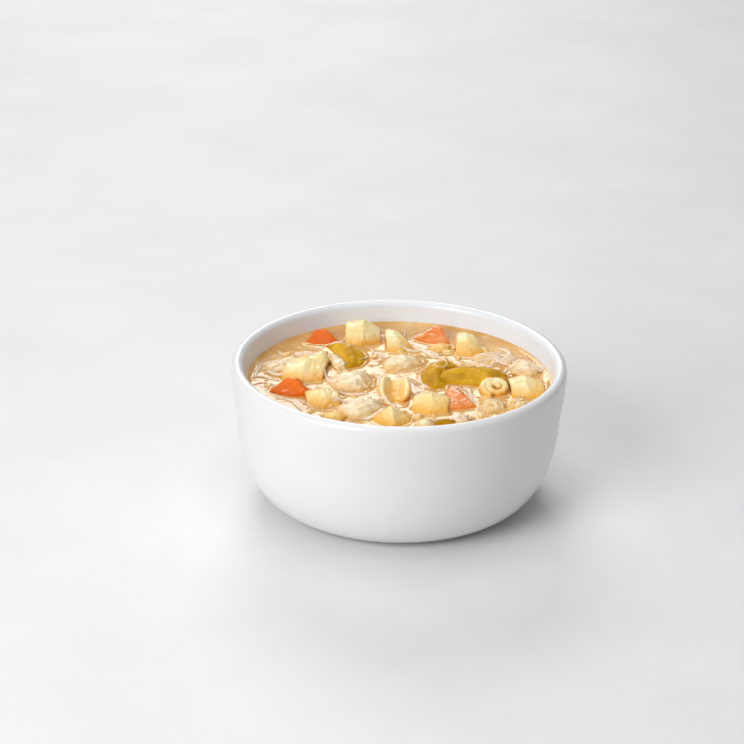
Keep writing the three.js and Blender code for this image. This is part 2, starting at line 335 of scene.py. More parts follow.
def food_finish(
    name,
    top,
    top_shade,
    soak_and_shade,
    patch=5.0,
    reach=3.0,
    grain=SKIN_GRAIN,
    bump=0.25,
    scatter=0.3,
    specular=0.5,
    coat=0.3,
    gloss=(0.22, 0.4),
):
    """A cooked, wet piece of food. patch, reach and bump are sizes in mm, and gloss is its
    roughness where it is smoothest and roughest."""
    material, tree, shader = new_finish(
        name,
        gloss[0],
        Subsurface_Weight=scatter,
        Subsurface_Radius=(1.0, 0.6, 0.25),
        Subsurface_Scale=2.0 * MM,
        IOR=1.4,
        Specular_IOR_Level=specular,
        Coat_Weight=coat,
        Coat_Roughness=0.12,
    )
    wire = tree.links.new
    mottle = use_group(tree, MOTTLE, Light=top, Dark=top_shade, Patch_Size_mm=patch)
    # The soaked colour near the broth is partly the real soaking and partly painted shade of the piece's
    # lower, shaded sides.
    foot = use_group(tree, SOAK_AND_SHADE_FOOT, Level_mm=BROTH_LEVEL / MM, Reach_mm=reach)
    blend = add_node(tree, "ShaderNodeMix", data_type="RGBA")
    wire(foot.outputs["Mask"], blend.inputs["Factor"])
    wire(mottle.outputs["Color"], blend.inputs["A"])
    blend.inputs["B"].default_value = soak_and_shade
    wire(blend.outputs["Result"], shader.inputs["Base Color"])
    add_roughness(tree, shader, mottle.outputs["Mask"], *gloss)
    add_relief(tree, shader, bump, 0.5, **grain)
    return material


# The third colour of each finish is its soaked colour low down, partly real soaking and partly painted
# shade.
noodle_finish = food_finish(
    "egg noodle",
    rgb(1.0, 0.93, 0.73),
    rgb(0.99, 0.86, 0.55),
    rgb(0.95, 0.69, 0.23),
    patch=12.0,
    reach=4.6,
    coat=0.12,
    gloss=(0.34, 0.5),
    specular=0.4,
)
carrot_finish = food_finish(
    "cooked carrot",
    rgb(0.94, 0.48, 0.07),
    rgb(0.9, 0.4, 0.03),
    rgb(0.88, 0.4, 0.04),
    patch=3.0,
    scatter=0.05,
    coat=0.0,
    specular=0.3,
)
pale_carrot_finish = food_finish(
    "carrot under broth",
    rgb(0.94, 0.5, 0.15),
    rgb(0.96, 0.66, 0.4),
    rgb(0.91, 0.52, 0.2),
    patch=4.0,
    scatter=0.08,
    coat=0.1,
    specular=0.4,
)
celery_finish = food_finish(
    "cooked celery",
    rgb(0.93, 0.72, 0.13),
    rgb(0.69, 0.485, 0.0),
    rgb(0.81, 0.57, 0.02),
    patch=9.0,
    reach=1.5,
    scatter=0.1,
    coat=0.0,
    gloss=(0.45, 0.6),
    specular=0.12,
)
chicken_finish = food_finish(
    "chicken",
    rgb(0.98, 0.91, 0.77),
    rgb(0.95, 0.83, 0.62),
    rgb(0.92, 0.74, 0.46),
    patch=4.0,
    grain=FIBRE_GRAIN,
    bump=0.4,
    coat=0.15,
    gloss=(0.3, 0.5),
)
strand_finish = food_finish(
    "chicken strand",
    rgb(0.98, 0.91, 0.82),
    rgb(0.94, 0.81, 0.64),
    rgb(0.96, 0.85, 0.71),
    patch=3.0,
    reach=1.0,
    grain=FIBRE_GRAIN,
    scatter=0.0,
    gloss=(0.25, 0.4),
)
crumb_finish = food_finish(
    "crumb",
    rgb(0.97, 0.87, 0.64),
    rgb(0.9, 0.7, 0.38),
    rgb(0.93, 0.76, 0.46),
    patch=2.0,
    scatter=0.0,
)
fat_finish = food_finish(
    "floating fat",
    rgb(0.93, 0.74, 0.4),
    rgb(0.88, 0.67, 0.33),
    rgb(0.91, 0.71, 0.37),
    scatter=0.0,
    gloss=(0.05, 0.1),
)
herb_finish = food_finish(
    "herb",
    rgb(0.4, 0.4, 0.16),
    rgb(0.3, 0.28, 0.1),
    rgb(0.35, 0.33, 0.12),
    patch=0.8,
    scatter=0.1,
)


# %% Broth: cloudy gold with browner patches, and creamy clouds that are partly fat and partly painted glare
def broth_material():
    material, tree, shader = new_finish(
        "broth",
        0.09,
        IOR=1.34,
        Subsurface_Weight=0.25,
        Subsurface_Radius=(1.0, 0.55, 0.2),
        Subsurface_Scale=2.0 * MM,
    )
    wire = tree.links.new
    gold = rgb(0.93, 0.745, 0.47)
    brown = rgb(0.83, 0.61, 0.33)
    body = use_group(tree, MOTTLE, Light=gold, Dark=brown, Patch_Size_mm=20.0)
    # The creamy clouds are partly fat in the broth and partly painted glare of light on its wet top.
    cream_and_glare = use_group(tree, MOTTLE, Patch_Size_mm=6.0, Balance=0.62, Softness=0.06)
    share = add_node(tree, "ShaderNodeMath", operation="MULTIPLY")
    share.inputs[1].default_value = 0.5
    wire(cream_and_glare.outputs["Mask"], share.inputs[0])
    blend = add_node(tree, "ShaderNodeMix", data_type="RGBA")
    wire(share.outputs[0], blend.inputs["Factor"])
    wire(body.outputs["Color"], blend.inputs["A"])
    blend.inputs["B"].default_value = rgb(0.96, 0.86, 0.7)
    wire(blend.outputs["Result"], shader.inputs["Base Color"])
    add_roughness(tree, shader, cream_and_glare.outputs["Mask"], 0.09, 0.18)
    add_relief(tree, shader, 0.25, 0.2, Coarse_mm=5.0, Fine_mm=1.2, Fine_Share=0.25)
    return material


broth_finish = broth_material()


# %% Porcelain: a clear glaze over a white body
def porcelain_material():
    """White all over. The white of the inner wall is a little bluer, to make up for the warm
    light that comes back to it off the broth."""
    material, tree, shader = new_finish(
        "white porcelain", 0.3, IOR=1.5, Coat_Weight=0.2, Coat_Roughness=0.15
    )
    wire = tree.links.new
    white = rgb(0.932, 0.932, 0.932)
    grey = rgb(0.922, 0.922, 0.922)
    body = use_group(tree, MOTTLE, Light=white, Dark=grey, Patch_Size_mm=40.0, Softness=0.5)
    place = add_node(tree, "ShaderNodeTexCoord")
    level = add_node(tree, "ShaderNodeVectorMath", operation="MULTIPLY")
    level.inputs[1].default_value = (1, 1, 0)
    wire(place.outputs["Object"], level.inputs[0])
    outward = add_node(tree, "ShaderNodeVectorMath", operation="NORMALIZE")
    wire(level.outputs[0], outward.inputs[0])
    facing = add_node(tree, "ShaderNodeNewGeometry")
    side = add_node(tree, "ShaderNodeVectorMath", operation="DOT_PRODUCT")
    wire(facing.outputs["Normal"], side.inputs[0])
    wire(outward.outputs[0], side.inputs[1])
    inside = add_node(tree, "ShaderNodeMapRange")
    inside.inputs["From Min"].default_value = -0.3
    inside.inputs["From Max"].default_value = -0.9
    wire(side.outputs["Value"], inside.inputs["Value"])
    cooler = add_node(tree, "ShaderNodeMix", data_type="RGBA")
    cooler.inputs["B"].default_value = rgb(0.93, 0.965, 1.0)
    wire(inside.outputs["Result"], cooler.inputs["Factor"])
    wire(body.outputs["Color"], cooler.inputs["A"])
    wire(cooler.outputs["Result"], shader.inputs["Base Color"])
    add_roughness(tree, shader, body.outputs["Mask"], 0.28, 0.32)
    add_relief(tree, shader, 0.03, 0.2, Coarse_mm=3.0, Fine_mm=0.8, Fine_Share=0.3)
    return material


porcelain_finish = porcelain_material()
print("finishes:", [material.name for material in bpy.data.materials])

# %% [markdown]
# ## The bowl
# A potter throws a bowl by drawing the wall up ring by ring. The same is done here: a small
# disc under the foot is extruded and widened ring by ring round the foot, up the outside, over
# the rounded lip and down the inside, where it closes. A Subdivision Surface rounds it all.

# %% The bowl's rings
LIP = 4.7 * MM
LEAN = 1.9 * MM
TURN_HEIGHT = 36.3 * MM
TURN_REACH = 18 * MM
INNER_WALL = 57 * MM
INNER_REACH = 21 * MM
BOWL_FLOOR = 7 * MM
FOOT_HEIGHT = 1.3 * MM
FOOT_RADIUS = 40 * MM
FOOT_WIDTH = 4.5 * MM
FOOT_HOLLOW = 0.9 * MM
MIDDLE_DISC = 12 * MM


def outside_rings():
    foot_inside = FOOT_RADIUS - FOOT_WIDTH
    yield MIDDLE_DISC, FOOT_HOLLOW
    yield foot_inside - 1 * MM, FOOT_HOLLOW
    yield foot_inside, 0.7 * MM
    yield foot_inside + 0.5 * MM, 0.05 * MM
    yield foot_inside + 1 * MM, 0.0
    yield FOOT_RADIUS - 1.2 * MM, 0.0
    yield FOOT_RADIUS - 0.6 * MM, 0.1 * MM
    yield FOOT_RADIUS, FOOT_HEIGHT
    wall = BOWL_RADIUS - LEAN
    drop = TURN_HEIGHT - FOOT_HEIGHT
    for step in range(1, 13):
        turn = math.radians(90 * step / 12)
        yield wall - TURN_REACH * (1 - math.sin(turn)), TURN_HEIGHT - drop * math.cos(turn)
    upright = BOWL_HEIGHT - LIP / 2 - TURN_HEIGHT
    for step in range(1, 5):
        up = step / 4
        yield wall + LEAN * (1 - (1 - up) ** 1.6), TURN_HEIGHT + upright * up


def lip_rings():
    for step in range(1, 8):
        turn = math.radians(180 * step / 8)
        radius = BOWL_RADIUS - LIP / 2 + LIP / 2 * math.cos(turn)
        yield radius, BOWL_HEIGHT - LIP / 2 + LIP / 2 * math.sin(turn)


def inside_rings():
    top = BOWL_HEIGHT - LIP / 2
    for step in range(4):
        down = step / 4
        radius = BOWL_RADIUS - LIP - (BOWL_RADIUS - LIP - INNER_WALL) * down
        yield radius, top - (top - TURN_HEIGHT) * down
    drop = TURN_HEIGHT - BOWL_FLOOR
    for step in range(9):
        turn = math.radians(90 * step / 8)
        yield INNER_WALL - INNER_REACH * (1 - math.cos(turn)), TURN_HEIGHT - drop * math.sin(turn)
    yield MIDDLE_DISC, BOWL_FLOOR


# %% Draw the wall up, ring by ring
def thrown(name, rings, around=64):
    """A round form made by extruding and widening a disc through rings of radius and height."""
    (radius, height), *others = rings
    select_none()
    bpy.ops.mesh.primitive_circle_add(
        vertices=around, radius=radius, fill_type="TRIFAN", location=(0, 0, height)
    )
    piece = bpy.context.object
    piece.name = name
    apply_place(piece)
    bpy.ops.object.mode_set(mode="EDIT")
    bpy.ops.mesh.select_mode(type="EDGE")
    bpy.ops.mesh.select_all(action="DESELECT")
    bpy.ops.mesh.select_non_manifold()
    for next_radius, next_height in others:
        bpy.ops.mesh.extrude_region_move(
            TRANSFORM_OT_translate={"value": (0, 0, next_height - height)}
        )
        grow = next_radius / radius
        bpy.ops.transform.resize(value=(grow, grow, 1), center_override=(0, 0, next_height))
        radius, height = next_radius, next_height
    bpy.ops.mesh.extrude_region_move()
    bpy.ops.mesh.merge(type="CENTER")
    bpy.ops.mesh.select_all(action="SELECT")
    bpy.ops.mesh.normals_make_consistent(inside=False)
    bpy.ops.object.mode_set(mode="OBJECT")
    return piece


bowl = thrown("porcelain_bowl", [*outside_rings(), *lip_rings(), *inside_rings()])
rounding = bowl.modifiers.new("rounding", "SUBSURF")
rounding.levels = rounding.render_levels = 2
apply_modifiers(bowl)
bpy.ops.object.shade_smooth()
finish_piece(bowl, porcelain_finish, ["bowl"])
print("bowl faces:", len(bowl.data.polygons), "size mm:", [round(d / MM, 1) for d in bowl.dimensions])

# %% [markdown]
# ## Soft food from its plain solids
# Cooked noodles, meat and vegetables have no sharp edges. Each starts as a copy of its plain
# solid, which has the right place and fold. A Subdivision Surface turns the flat facets of the
# round ones into a smooth skin. Creased ones go without it, so that their folds and cut edges
# stay. A voxel remesh then gives each small even faces that can hold detail.


# %% A rounded, evenly meshed copy of a solid
def rounded_copy(node, grain_mm, smoothing, swell_mm, creased=False):
    """Round off a copy of a CAD node, then swell it to make up for what rounding took away."""
    piece = bpy.data.objects.new("soft_" + node, frame["nodes"][node].data.copy())
    bpy.context.collection.objects.link(piece)
    select_only(piece)
    bpy.ops.object.mode_set(mode="EDIT")
    bpy.ops.mesh.select_all(action="SELECT")
    bpy.ops.mesh.remove_doubles(threshold=0.01 * MM)
    bpy.ops.mesh.tris_convert_to_quads(face_threshold=math.radians(40), shape_threshold=math.radians(60))
    bpy.ops.object.mode_set(mode="OBJECT")
    if not creased:
        skin = piece.modifiers.new("smooth skin", "SUBSURF")
        skin.levels = skin.render_levels = 2
    even = piece.modifiers.new("even faces", "REMESH")
    even.mode = "VOXEL"
    even.voxel_size = grain_mm * MM
    soft = piece.modifiers.new("soft edges", "SMOOTH")
    soft.factor = 0.5
    soft.iterations = smoothing
    swell = piece.modifiers.new("swell", "DISPLACE")
    swell.mid_level = 0.0
    swell.strength = swell_mm * MM
    apply_modifiers(piece)
    return piece


# %% Lumps and grooves
def add_lumps(piece, size_mm, height_mm, heading=0, along=1):
    """Raise and sink the skin with a cloud pattern. along stretches it into grooves that run
    along the heading, as the fibres of meat and the strings of celery do."""
    guide = bpy.data.objects.new("guide", None)
    bpy.context.collection.objects.link(guide)
    guide.rotation_euler = (0, 0, math.radians(heading))
    guide.scale = (size_mm * along * MM, size_mm * MM, size_mm * MM)
    bpy.context.view_layer.update()
    clouds = bpy.data.textures.new("lumps", "CLOUDS")
    clouds.noise_scale = 1.0
    lumps = piece.modifiers.new("lumps", "DISPLACE")
    lumps.texture = clouds
    lumps.texture_coords = "OBJECT"
    lumps.texture_coords_object = guide
    lumps.strength = height_mm * MM
    lumps.mid_level = 0.5
    apply_modifiers(piece)
    bpy.data.objects.remove(guide)


def pull(piece, place_mm, move_mm, reach_mm):
    """Move the skin near a place, as a finger would push soft food."""
    select_only(piece)
    bpy.ops.object.mode_set(mode="EDIT")
    bpy.ops.mesh.select_mode(type="VERT")
    bpy.ops.mesh.select_all(action="DESELECT")
    bpy.ops.object.mode_set(mode="OBJECT")
    place = Vector(place_mm) * MM
    min(piece.data.vertices, key=lambda corner: (corner.co - place).length).select = True
    bpy.ops.object.mode_set(mode="EDIT")
    bpy.ops.transform.translate(
        value=Vector(move_mm) * MM,
        use_proportional_edit=True,
        proportional_edit_falloff="SMOOTH",
        proportional_size=reach_mm * MM,
    )
    bpy.ops.object.mode_set(mode="OBJECT")


def nodes_named(*starts):
    return [node for node in frame["nodes"] if node.startswith(starts)]


# %% [markdown]
# ## Noodles
# Wide egg noodles are rolled thin, cut, and curl up as they cook. Their skin is smooth with a
# slow ripple, and it is a little pitted. They are pale where they stand out of the broth and
# deeper gold low down, partly from soaking and partly as painted shade. The ripples run along
# each noodle, except in the rolled one. The left one is pulled up in a curl.

# %% Noodles
ROUND = ["noodle_middle", "noodle_small_back", "noodle_small_front"]
LENGTHWISE = {
    "noodle_back_left": 90,
    "noodle_back_middle": 107,
    "noodle_back_right": 97,
    "noodle_small_back": 70,
    "noodle_left": 82,
    "noodle_middle": 0,
    "noodle_front_left": 98,
    "noodle_front_middle": 86,
    "noodle_front": 96,
    "noodle_right": 96,
    "noodle_small_front": 66,
}
for node in nodes_named("noodle"):
    if node in ROUND:
        piece = rounded_copy(node, grain_mm=0.35, smoothing=3, swell_mm=0.55)
    else:
        piece = rounded_copy(node, grain_mm=0.35, smoothing=10, swell_mm=0.3, creased=True)
    if node == "noodle_left":
        pull(piece, place_mm=(-30.5, 14.5, 51), move_mm=(0.5, 0, 3), reach_mm=6)
    add_lumps(piece, size_mm=5.0, height_mm=0.9)
    if node in LENGTHWISE:
        add_lumps(piece, size_mm=1.3, height_mm=0.3, heading=LENGTHWISE[node], along=12)
    add_lumps(piece, size_mm=1.0, height_mm=0.2)
    bpy.ops.object.shade_smooth()
    finish_piece(piece, noodle_finish, [node])
    print(piece.name, len(piece.data.polygons), "faces")

# %% [markdown]
# ## Carrot
# The carrot was cut in thick wedges before it was cooked, so its sides stay fairly flat and its
# edges go round. Its cut face is a little rough.

# %% Carrot
for node in nodes_named("carrot"):
    piece = rounded_copy(node, grain_mm=0.35, smoothing=16, swell_mm=0.6, creased=True)
    add_lumps(piece, size_mm=4.0, height_mm=0.6)
    add_lumps(piece, size_mm=1.2, height_mm=0.15)
    bpy.ops.object.shade_smooth()
    finish = pale_carrot_finish if node.endswith("right") else carrot_finish
    finish_piece(piece, finish, [node])

# %% [markdown]
# ## Celery
# A slice of celery shows the strings of the stalk as shallow ribs along its length.

# %% Celery
CELERY_HEADING = {
    "celery_middle": -2,
    "celery_middle_left": 82,
    "celery_back_left": -70,
    "celery_front": 20,
}
for node, heading in CELERY_HEADING.items():
    piece = rounded_copy(node, grain_mm=0.35, smoothing=12, swell_mm=0.45, creased=True)
    add_lumps(piece, size_mm=6.0, height_mm=0.8)
    add_lumps(piece, size_mm=1.6, height_mm=0.3, heading=heading, along=10)
    bpy.ops.object.shade_smooth()
    finish_piece(piece, celery_finish, [node])

# %% [markdown]
# ## Chicken
# Cooked chicken comes apart along its fibres. Broad lumps give each chunk its own outline, and
# long grooves in two sizes, which run with its fibres, give the stringy surface.

# %% Chicken
FIBRE_HEADING = {
    "chicken_middle": 25,
    "chicken_middle_left": -35,
    "chicken_front_left": 35,
    "chicken_left": 50,
    "chicken_strip": 110,
    "chicken_right": -10,
    "chicken_front_right": 20,
    "chicken_far_right": 35,
    "chicken_front": 70,
    "shreds_back_right": 5,
    "shreds_front_right": 30,
}
for node, heading in FIBRE_HEADING.items():
    piece = rounded_copy(node, grain_mm=0.33, smoothing=2, swell_mm=0.4)
    add_lumps(piece, size_mm=7.0, height_mm=2.2)
    add_lumps(piece, size_mm=1.7, height_mm=1.4, heading=heading, along=8)
    add_lumps(piece, size_mm=0.8, height_mm=0.5, heading=heading, along=6)
    bpy.ops.object.shade_smooth()
    finish_piece(piece, chicken_finish, [node])

# %% [markdown]
# ## The broth
# Broth fills the bowl up to its level and climbs a little way up all that it touches: the
# bowl's wall and each piece of food. It is thrown ring by ring like the bowl, with many fine
# rings over its top, and the top is lifted where it comes near something. A slow and a
# quicker ripple keep it from lying quite flat.

# %% A bowl full of broth
SIDE_GAP = 0.25 * MM
SURFACE_STEP = 0.6 * MM


def wall_radius(height):
    """The radius of the bowl's inside at a height on its straight upper part."""
    top = BOWL_HEIGHT - LIP / 2
    up = (height - TURN_HEIGHT) / (top - TURN_HEIGHT)
    return INNER_WALL + (BOWL_RADIUS - LIP - INNER_WALL) * up


def broth_rings():
    """From the middle of the bowl's floor up its side to the surface, then in to the middle."""
    yield MIDDLE_DISC, BOWL_FLOOR + SIDE_GAP
    for step in range(1, 9):
        turn = math.radians(90 * step / 8)
        radius = INNER_WALL - SIDE_GAP - INNER_REACH * (1 - math.sin(turn))
        yield radius, TURN_HEIGHT - (TURN_HEIGHT - BOWL_FLOOR - SIDE_GAP) * math.cos(turn)
    yield BROTH_RADIUS - 0.1 * MM, BROTH_LEVEL - 1 * MM
    radius = wall_radius(BROTH_LEVEL + 1 * MM) + 0.4 * MM
    while radius > SURFACE_STEP:
        yield radius, BROTH_LEVEL
        radius -= SURFACE_STEP


broth = thrown("broth_surface", list(broth_rings()), around=400)
print("broth faces:", len(broth.data.polygons))


# %% Let it climb what it touches
def climb(surface, target, reach_mm, height_mm):
    """Lift the top of a surface where it is near a target."""
    group = surface.vertex_groups.new(name="near")
    top = [corner.index for corner in surface.data.vertices if corner.co.z > BROTH_LEVEL - 0.1 * MM]
    group.add(top, 1.0, "REPLACE")
    near = surface.modifiers.new("near", "VERTEX_WEIGHT_PROXIMITY")
    near.vertex_group = group.name
    near.target = target
    near.proximity_mode = "GEOMETRY"
    near.proximity_geometry = {"FACE"}
    near.min_dist = reach_mm * MM
    near.max_dist = 0.0
    near.falloff_type = "SHARP"
    lift = surface.modifiers.new("climb", "DISPLACE")
    lift.vertex_group = group.name
    lift.direction = "Z"
    lift.mid_level = 0.0
    lift.strength = height_mm * MM
    apply_modifiers(surface)
    surface.vertex_groups.clear()


def joined_copy(pieces, name):
    """One mesh made of copies of several pieces."""
    select_none()
    copies = []
    for piece in pieces:
        twin = bpy.data.objects.new(name, piece.data.copy())
        bpy.context.collection.objects.link(twin)
        twin.select_set(True)
        copies.append(twin)
    bpy.context.view_layer.objects.active = copies[0]
    bpy.ops.object.join()
    return bpy.context.object


food = joined_copy([o for o in bpy.data.objects if o.name.startswith("soft_")], "all_food")
climb(broth, bowl, reach_mm=2.5, height_mm=0.9)
climb(broth, food, reach_mm=1.6, height_mm=0.5)
add_lumps(broth, size_mm=12.0, height_mm=0.35)
add_lumps(broth, size_mm=3.5, height_mm=0.16)
bpy.ops.object.shade_smooth()
finish_piece(broth, broth_finish, ["broth"])
print("broth top mm:", round(max(v.co.z for v in broth.data.vertices) / MM, 2))

# %% [markdown]
# ## What lies on the soup
# Strands, crumbs, drops of fat and flecks of herb rest on whatever is under them, broth or food.
# A ray cast straight down finds that height, so each of them needs only its place seen from
# above. These places are in millimetres.

# %% Feel for the surface from above
food_tree = BVHTree.FromObject(food, bpy.context.evaluated_depsgraph_get())
broth_tree = BVHTree.FromObject(broth, bpy.context.evaluated_depsgraph_get())
bpy.data.objects.remove(food)
ABOVE = 100 * MM
DOWN = Vector((0, 0, -1))


def height_under(x, y):
    """The height of food or broth at a place, and whether it is open broth."""
    heights = []
    for tree in (food_tree, broth_tree):
        spot = tree.ray_cast(Vector((x, y, ABOVE)), DOWN)[0]
        heights.append(spot.z if spot else 0.0)
    return max(heights), heights[1] >= heights[0]


def smooth_line(corners, parts=5):
    """A line that runs smoothly through a few corners."""
    ends = [corners[0], *corners, corners[-1]]
    line = []
    for a, b, c, d in zip(ends, ends[1:], ends[2:], ends[3:]):
        for part in range(parts):
            t = part / parts
            square = (a * 2 - b * 5 + c * 4 - d) * t**2
            cube = (b * 3 - a - c * 3 + d) * t**3
            line.append((b * 2 + (c - a) * t + square + cube) / 2)
    return [*line, corners[-1]]


def laid(line, lift):
    """Lay a line on the soup. It bridges small gaps and doesn't follow every dent."""
    heights = [height_under(spot.x, spot.y)[0] for spot in line]
    for _ in range(2):
        around = zip([heights[0], *heights[:-1]], heights, [*heights[1:], heights[-1]])
        heights = [max(here, (before + here * 2 + after) / 4) for before, here, after in around]
    return [Vector((spot.x, spot.y, height + lift)) for spot, height in zip(line, heights)]


# %% [markdown]
# ## Strands of chicken
# Fine strands come off the chicken and lie over the soup in loops, and each is a few fibres
# side by side. A fibre is a curve with a round section, thin at its ends. All the strands
# become one mesh.

# %% Lay strands
FIBRE_SPREAD = 0.25
FIBRE_LIFT = 0.1


def new_strands(name):
    """An empty curve. Its round section is 1 mm wide, so a point's radius is a width in mm."""
    curve = bpy.data.curves.new(name, "CURVE")
    curve.dimensions = "3D"
    curve.bevel_depth = 0.5 * MM
    curve.bevel_resolution = 1
    curve.use_fill_caps = True
    strands = bpy.data.objects.new(name, curve)
    bpy.context.collection.objects.link(strands)
    return strands


def add_fibre(strands, line, width_mm):
    """One fibre along a line, a third as wide at its ends as in its middle."""
    spline = strands.data.splines.new("POLY")
    spline.points.add(len(line) - 1)
    last = len(line) - 1
    for index, (point, spot) in enumerate(zip(spline.points, line)):
        slim = min(1.0, 0.35 + 2.5 * min(index, last - index) / last)
        point.co = (*spot, 1)
        point.radius = width_mm * slim * random.uniform(0.8, 1.15)


def add_strand(strands, corners_mm, width_mm, fibres):
    """A strand of a few fibres that follow the same line a little apart."""
    spread = FIBRE_SPREAD * width_mm * math.sqrt(fibres)
    for _ in range(fibres):
        corners = [
            Vector((x + random.uniform(-spread, spread), y + random.uniform(-spread, spread))) * MM
            for x, y in corners_mm
        ]
        fibre_width = width_mm * random.uniform(0.55, 0.85)
        line = laid(smooth_line(corners), FIBRE_LIFT * fibre_width * MM)
        add_fibre(strands, line, fibre_width)


def add_tangle(strands, middle_mm, spread_mm, count, length_mm, width_mm, heading):
    """Strands of four fibres strewn round a place, most of them roughly along a heading."""
    for _ in range(count):
        turn = math.radians(heading + random.gauss(0, 35))
        bow = random.uniform(-0.5, 0.5)
        x = middle_mm[0] + random.gauss(0, spread_mm[0])
        y = middle_mm[1] + random.gauss(0, spread_mm[1])
        half = length_mm * random.uniform(0.5, 1.1) / 2
        corners = []
        for along in (-1, -0.35, 0.35, 1):
            bend = turn + bow * along
            corners.append((x + half * along * math.cos(bend), y + half * along * math.sin(bend)))
        add_strand(strands, corners, width_mm * random.uniform(0.7, 1.2), 4)


LOOPS = [
    [(-56.5, 0), (-56, 6), (-54.5, 12), (-52, 18), (-48, 22.5), (-44, 22.5)],
    [(-48.5, 28.5), (-47.5, 25), (-45.5, 23)],
    [(-43.5, 22), (-41, 18.5), (-38.5, 15)],
    [(-56, 7), (-52, 6), (-48, 3)],
    [(-57, -1), (-53, 1), (-50, -1.5), (-46, -3)],
    [(-56, -7), (-52, -5), (-48, -6.5)],
    [(-30, 33), (-26, 35.5), (-21.5, 36.5)],
    [(-28, 31), (-23, 32), (-20, 30)],
    [(-12.5, 33), (-10.5, 28), (-12.5, 21.5), (-15.5, 17)],
    [(2.5, 41.5), (6, 42.5), (10, 42)],
    [(1, 52.5), (2.5, 49), (1.5, 45)],
    [(0, 5), (5, 1.5), (9, -4), (12, -8.5)],
    [(3, 1.5), (6.5, -3), (8.5, -8)],
    [(7, -11), (11.5, -11.5), (12.5, -14), (9, -16.5), (6.5, -14.5)],
    [(12, 17.5), (16, 19), (20, 18)],
    [(20, -10.5), (22.5, -12.5), (21.5, -15.5), (23.5, -17)],
    [(-38, -20), (-35, -25), (-31, -30)],
    [(19, -40), (22.5, -38), (25.5, -39)],
    [(3, -24), (-1, -27)],
]
SHREDS = [
    [(-54, 12), (-50, 15.5), (-45.5, 17.5), (-42, 16)],
    [(-56, 1), (-55.5, 6), (-54, 11)],
    [(-51, 10), (-47, 10.5), (-43, 8)],
    [(-52, 4), (-48, 2), (-45, 2.5)],
    [(-40, 24), (-36, 24.5), (-33, 23)],
    [(-8.5, 28), (-7.5, 25), (-6.5, 22)],
    [(4.5, 36), (8, 32), (13, 27), (18, 21)],
    [(7.5, 33), (11, 28), (14.5, 22.5)],
    [(1, 30), (5, 29), (9, 30)],
    [(33, 26.5), (38, 28), (44, 26)],
    [(27, 19.5), (31.5, 17), (36.5, 15)],
    [(30, 23), (35.5, 21.5), (41, 22)],
    [(38, 18.5), (42, 17.5), (45.5, 20)],
    [(43.5, 9), (50, 8), (55.5, 11), (54.5, 16), (48.5, 18.5), (43, 15)],
    [(24.5, -7), (27, -9.5), (28, -15), (29.5, -21), (31, -27)],
    [(26.5, -12), (28, -18), (31, -23)],
    [(-46, -19), (-41, -22), (-37, -28), (-34, -33)],
    [(-28.5, 4), (-27, -3), (-24, -8)],
    [(-9.5, 5), (-7.5, 0), (-8, -6)],
    [(-23, -13), (-18, -15), (-12, -13)],
    [(-24, -24), (-20, -22), (-14, -20.5)],
    [(-9, -20), (-5, -21.5), (-1, -25)],
    [(-4, -31), (-8, -35), (-13, -38)],
    [(18, -36), (22, -35), (26.5, -35.5)],
    [(13, -38), (15, -36)],
    [(40, 34), (43, 31), (44, 27)],
    [(-12, -45), (-7, -47), (-2, -46)],
]
strands = new_strands("chicken_strands")
for corners in LOOPS:
    add_strand(strands, corners, width_mm=0.8, fibres=3)
for corners in SHREDS:
    add_strand(strands, corners, width_mm=1.1, fibres=8)
add_tangle(strands, (37, 21.5), (4, 2.5), count=12, length_mm=9, width_mm=1.1, heading=5)
add_tangle(strands, (23, -37), (2, 1.5), count=6, length_mm=6, width_mm=0.9, heading=20)
add_tangle(strands, (-48, 9), (3, 4), count=6, length_mm=8, width_mm=0.9, heading=55)
add_tangle(strands, (48, 13), (3, 3), count=6, length_mm=7, width_mm=0.9, heading=20)


def finish_strands(strands, material):
    """Turn the curves into one mesh with its faces outward, and make it a little uneven."""
    select_only(strands)
    bpy.ops.object.convert(target="MESH")
    piece = bpy.context.object
    bpy.ops.object.mode_set(mode="EDIT")
    bpy.ops.mesh.select_all(action="SELECT")
    bpy.ops.mesh.normals_make_consistent(inside=False)
    bpy.ops.object.mode_set(mode="OBJECT")
    add_lumps(piece, size_mm=1.4, height_mm=0.3)
    bpy.ops.object.shade_smooth()
    finish_piece(piece, material)
    print(piece.name, len(piece.data.polygons), "faces")


finish_strands(strands, strand_finish)

# %% [markdown]
# A few pale strings have come loose from the celery and curl over it.

# %% Strings of celery
STRINGS = [
    [(13.5, 15.5), (14.5, 12.5), (13.5, 9.5)],
    [(17, 17), (18.5, 13), (17.5, 8.5)],
    [(13.5, 9.5), (15.5, 7.5), (17.5, 8.5)],
    [(16.5, 15), (20, 15.5), (24, 14.5)],
]
strings = new_strands("celery_strings")
for corners in STRINGS:
    add_strand(strings, corners, width_mm=1.0, fibres=4)
finish_strands(strings, crumb_finish)

# %% [markdown]
# ## Crumbs, fat and herbs
# Crumbs of noodle and meat gather between the pieces, and at the grainy places they lie on the
# chicken too. Fat floats in flat drops on open broth. A few flecks of herb are dark against it.
# Each kind is modelled once and copied.


# %% Strewing copies of one small thing
TIP = 0.3
FULL_TURN = 6.28
EDGE_GAP = 2 * MM


def strewn(kind, name, spots):
    """Copies of a small thing, tipped and turned at random and joined. A spot is (x, y, z,
    size)."""
    copies = []
    for x, y, z, size in spots:
        twin = bpy.data.objects.new(name, kind.data.copy())
        bpy.context.collection.objects.link(twin)
        twin.location = (x, y, z)
        tips = random.uniform(-TIP, TIP), random.uniform(-TIP, TIP)
        twin.rotation_euler = (*tips, random.uniform(0, FULL_TURN))
        twin.scale = [size * random.uniform(0.8, 1.2) for _ in range(3)]
        copies.append(twin)
    bpy.data.objects.remove(kind)
    select_none()
    for twin in copies:
        twin.select_set(True)
    bpy.context.view_layer.objects.active = copies[0]
    bpy.ops.object.join()
    joined = bpy.context.object
    joined.name = name
    apply_place(joined)
    bpy.ops.object.shade_smooth()
    return joined


